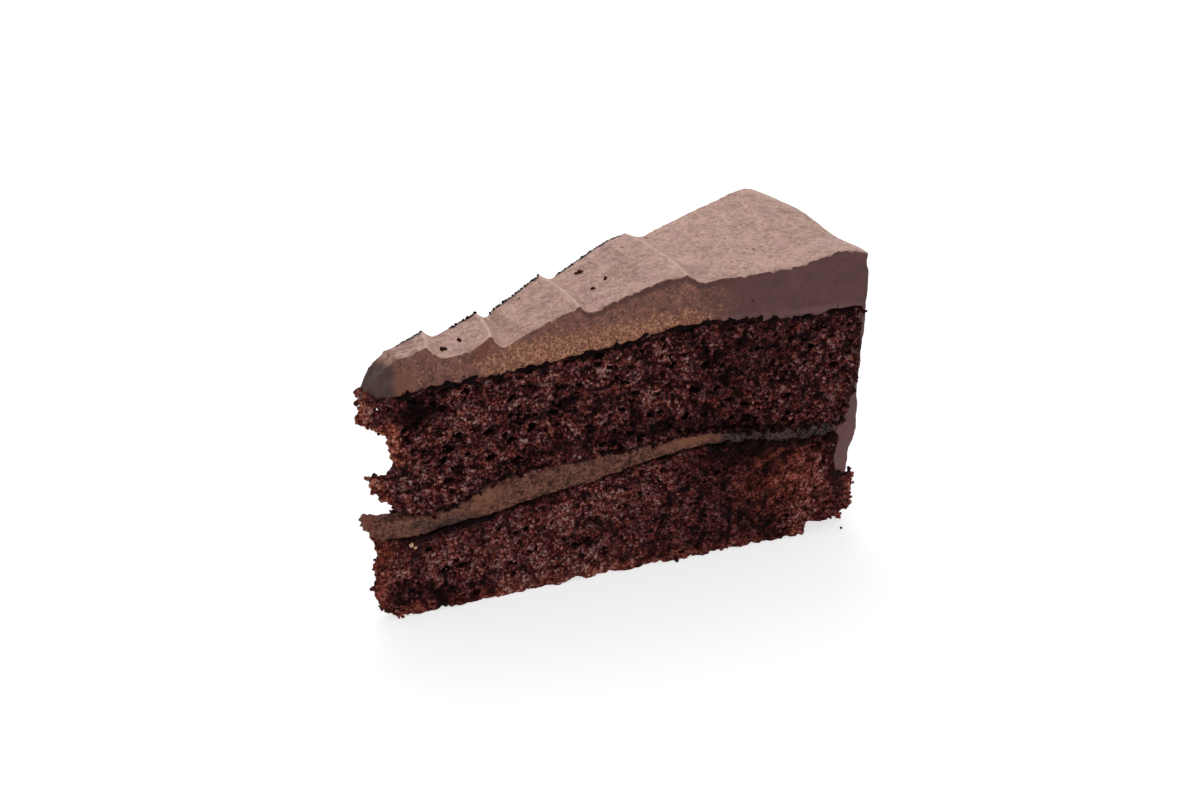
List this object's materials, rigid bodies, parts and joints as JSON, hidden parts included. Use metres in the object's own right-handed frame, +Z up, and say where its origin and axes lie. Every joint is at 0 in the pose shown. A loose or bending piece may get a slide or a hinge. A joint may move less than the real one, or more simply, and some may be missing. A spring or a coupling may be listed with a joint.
{
  "type": "slice of chocolate cake",
  "caption": "Wedge of round chocolate layer cake: sponge layers with cream between, thick terraced frosting on top and down the curved outer end.",
  "frame": {"origin": "middle of the slice's box, on the surface that it stands on", "axes": "+X from the tip to the frosted outer end, +Y from the near cut face to the far one, +Z up"},
  "size_m": [0.1233, 0.0478, 0.0726],
  "materials": {
    "sponge_lower": "moist, finely porous dark chocolate sponge, matte with small damp glints",
    "filling": "soft chocolate cream, satin, smeared with crumbs by the knife",
    "sponge_upper": "moist, open dark chocolate sponge, matte with small damp glints",
    "frosting": "whipped chocolate frosting, satin, in spatula terraces, darker and finely porous where it is cut"
  },
  "bodies": {
    "root": {"sponge_lower": "sponge_lower", "filling": "filling", "sponge_upper": "sponge_upper", "frosting": "frosting"}
  },
  "joints": []
}
